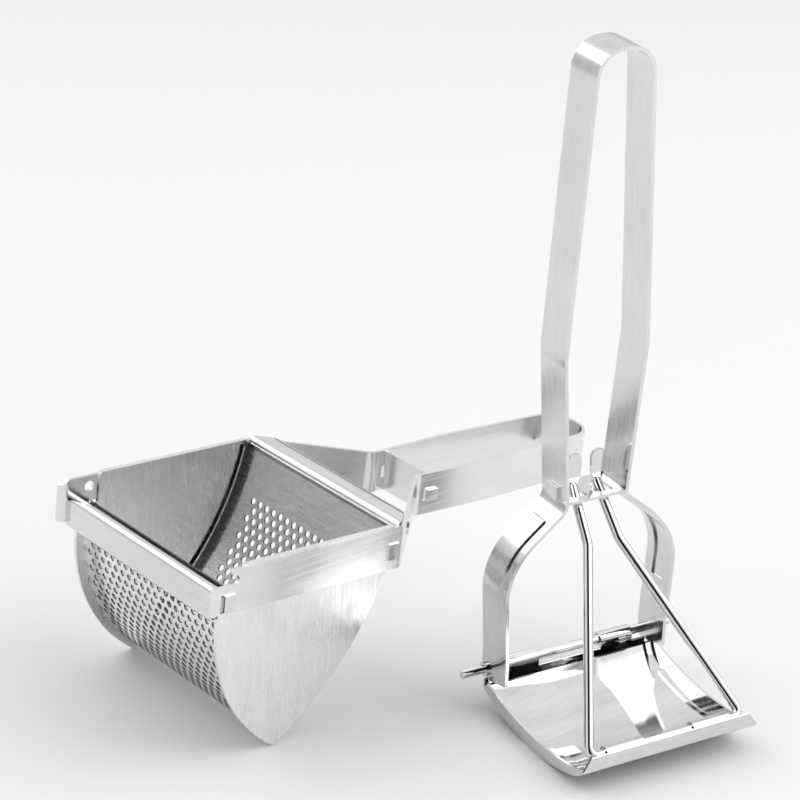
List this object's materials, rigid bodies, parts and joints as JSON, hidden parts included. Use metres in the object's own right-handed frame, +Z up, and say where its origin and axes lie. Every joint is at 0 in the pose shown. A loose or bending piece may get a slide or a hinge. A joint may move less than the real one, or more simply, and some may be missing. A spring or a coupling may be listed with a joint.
{
  "type": "potato ricer",
  "caption": "Stainless potato ricer in two halves: V-shaped perforated basket with a strap handle, and a plunger with a hinged curved plate and a sliding wire.",
  "frame": {"origin": "bottom centre of the box of both halves as they stand side by side", "axes": "+Z up, +Y from the basket half's front to its handle, +X from the basket half towards the plunger half"},
  "size_m": [0.209, 0.2358, 0.2762],
  "materials": {
    "strap": "brushed stainless strap",
    "rim": "polished stainless rim",
    "screen": "satin perforated stainless sheet",
    "wall": "brushed stainless sheet",
    "plate": "mirror-polished stainless sheet",
    "wire": "bright drawn stainless wire"
  },
  "bodies": {
    "basket": {"basket_frame": "strap", "basket_bridge": "strap", "front_rim": "rim", "rear_rim": "rim", "front_screen": "screen", "rear_screen": "screen", "left_side_wall": "wall", "right_side_wall": "wall"},
    "pin": {"hinge_pin": "wire"},
    "plunger": {"plunger_frame": "strap", "plunger_bridge": "strap"},
    "plate": {"plunger_plate": "plate"},
    "wire": {"push_wire": "wire"}
  },
  "joints": [
    {"name": "seat_lift", "type": "slide", "parent": "basket", "child": "pin", "axis": [0, 0, 1], "range_m": [0, 0.09]},
    {"name": "press", "type": "hinge", "parent": "pin", "child": "plunger", "pos_m": [0.02228, 0.04625, 0.01627], "axis": [0.1822, 0.983, 0.0227], "range_deg": [0, 77]},
    {"name": "plate_swing", "type": "hinge", "parent": "plunger", "child": "plate", "pos_m": [0.02228, 0.04625, 0.01627], "axis": [-0.1822, -0.983, -0.0227], "range_deg": [0, 18]},
    {"name": "wire_swing", "type": "hinge", "parent": "plate", "child": "wire", "pos_m": [0.09308, 0.03318, 0.01377], "axis": [-0.1822, -0.983, -0.0227], "range_deg": [-9.6, 0]}
  ],
  "couplings": [
    {"joint": "seat_lift", "follows": "press", "m_per_rad": 0.065},
    {"joint": "wire_swing", "follows": "plate_swing", "ratio": -0.528}
  ]
}
